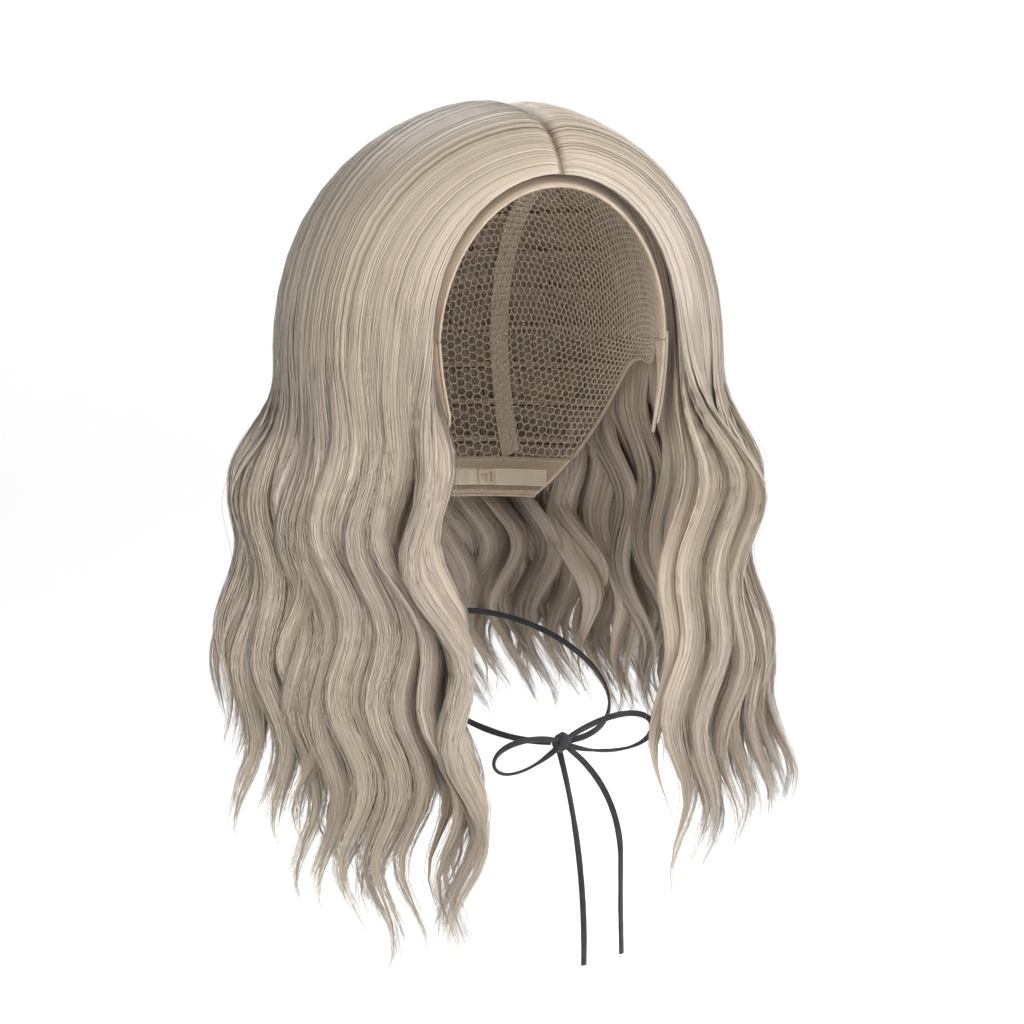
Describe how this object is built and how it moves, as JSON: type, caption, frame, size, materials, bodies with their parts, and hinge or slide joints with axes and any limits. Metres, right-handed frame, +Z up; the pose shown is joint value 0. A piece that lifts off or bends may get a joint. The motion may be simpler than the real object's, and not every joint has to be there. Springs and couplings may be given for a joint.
{
  "type": "costume wig",
  "caption": "Long wavy centre-parted costume wig on an open-weft cap with adjuster straps, with a tie cord in a bow at the neck.",
  "frame": {"origin": "centre of the head that wears the wig, level with the head-size line round the brow and the back of the head", "axes": "+Z up, the face opening faces -Y, +X is the wearer's left"},
  "size_m": [0.2912, 0.232, 0.4301],
  "materials": {
    "hair_fibre": "ash blond synthetic fibre, satin sheen",
    "rose_net": "open knitted rose net",
    "band_fabric": "brushed satin band",
    "parting_skin": "scalp-toned fabric strip",
    "elastic": "ribbed woven elastic",
    "weft_tape": "stitched weft tape",
    "stay_plastic": "flexible moulded stay in a sewn channel",
    "pocket_cotton": "woven cotton tape",
    "hook_plastic": "moulded hook",
    "tie_cord": "flat charcoal suede lace"
  },
  "bodies": {
    "root": {"back_net": "rose_net", "back_weft_1": "weft_tape", "back_weft_2": "weft_tape", "back_weft_3": "weft_tape", "back_weft_4": "weft_tape", "back_weft_5": "weft_tape", "back_weft_6": "weft_tape", "back_weft_7": "weft_tape", "crown_hair_back": "hair_fibre", "crown_hair_left": "hair_fibre", "crown_hair_right": "hair_fibre", "crown_net": "rose_net", "ear_tab_left": "band_fabric", "ear_tab_right": "band_fabric", "ear_tab_stay_left": "stay_plastic", "ear_tab_stay_right": "stay_plastic", "front_band": "band_fabric", "nape_band": "band_fabric", "parting_strip": "parting_skin", "pocket_tape": "pocket_cotton", "rib_centre": "elastic", "rib_left": "elastic", "rib_right": "elastic", "temple_weft_left_1": "weft_tape", "temple_weft_left_2": "weft_tape", "temple_weft_left_3": "weft_tape", "temple_weft_left_4": "weft_tape", "temple_weft_right_1": "weft_tape", "temple_weft_right_2": "weft_tape", "temple_weft_right_3": "weft_tape", "temple_weft_right_4": "weft_tape"},
    "left_fall": {"curtain_hair_left": "hair_fibre", "side_hair_left": "hair_fibre"},
    "right_fall": {"curtain_hair_right": "hair_fibre", "side_hair_right": "hair_fibre"},
    "back_fall": {"back_hair_left": "hair_fibre", "back_hair_right": "hair_fibre"},
    "strap_left": {"adjuster_strap_left": "elastic", "strap_hook_left": "hook_plastic"},
    "strap_right": {"adjuster_strap_right": "elastic", "strap_hook_right": "hook_plastic"},
    "neck_cord": {"neck_loop": "tie_cord", "bow_knot": "tie_cord"},
    "bow_left": {"bow_loop_left": "tie_cord"},
    "bow_right": {"bow_loop_right": "tie_cord"},
    "tail_long": {"cord_tail_long": "tie_cord"},
    "tail_short": {"cord_tail_short": "tie_cord"}
  },
  "joints": [
    {"name": "left_hair_swing", "type": "hinge", "parent": "root", "child": "left_fall", "pos_m": [0.1165, 0, -0.001], "axis": [0, -1, 0], "range_deg": [0, 18]},
    {"name": "right_hair_swing", "type": "hinge", "parent": "root", "child": "right_fall", "pos_m": [-0.1165, 0, -0.001], "axis": [0, 1, 0], "range_deg": [0, 18]},
    {"name": "back_hair_swing", "type": "hinge", "parent": "root", "child": "back_fall", "pos_m": [0, 0.1275, -0.001], "axis": [1, 0, 0], "range_deg": [0, 15]},
    {"name": "strap_left_adjust", "type": "hinge", "parent": "root", "child": "strap_left", "pos_m": [0, 0.019, -0.08], "axis": [0, 0, 1], "range_deg": [-18, 18]},
    {"name": "strap_right_adjust", "type": "hinge", "parent": "root", "child": "strap_right", "pos_m": [0, 0.019, -0.08], "axis": [0, 0, 1], "range_deg": [-18, 18]},
    {"name": "neck_cord_slide", "type": "slide", "parent": "root", "child": "neck_cord", "axis": [0, 0, 1], "range_m": [-0.012, 0.012]},
    {"name": "bow_left_swing", "type": "hinge", "parent": "neck_cord", "child": "bow_left", "pos_m": [0, -0.06994, -0.20103], "axis": [0, 1, 0], "range_deg": [-20, 20]},
    {"name": "bow_right_swing", "type": "hinge", "parent": "neck_cord", "child": "bow_right", "pos_m": [0, -0.06994, -0.20103], "axis": [0, 1, 0], "range_deg": [-20, 20]},
    {"name": "tail_long_swing", "type": "hinge", "parent": "neck_cord", "child": "tail_long", "pos_m": [0, -0.06994, -0.20103], "axis": [0, 1, 0], "range_deg": [-20, 20]},
    {"name": "tail_short_swing", "type": "hinge", "parent": "neck_cord", "child": "tail_short", "pos_m": [0, -0.06994, -0.20103], "axis": [0, 1, 0], "range_deg": [-12, 20]}
  ]
}
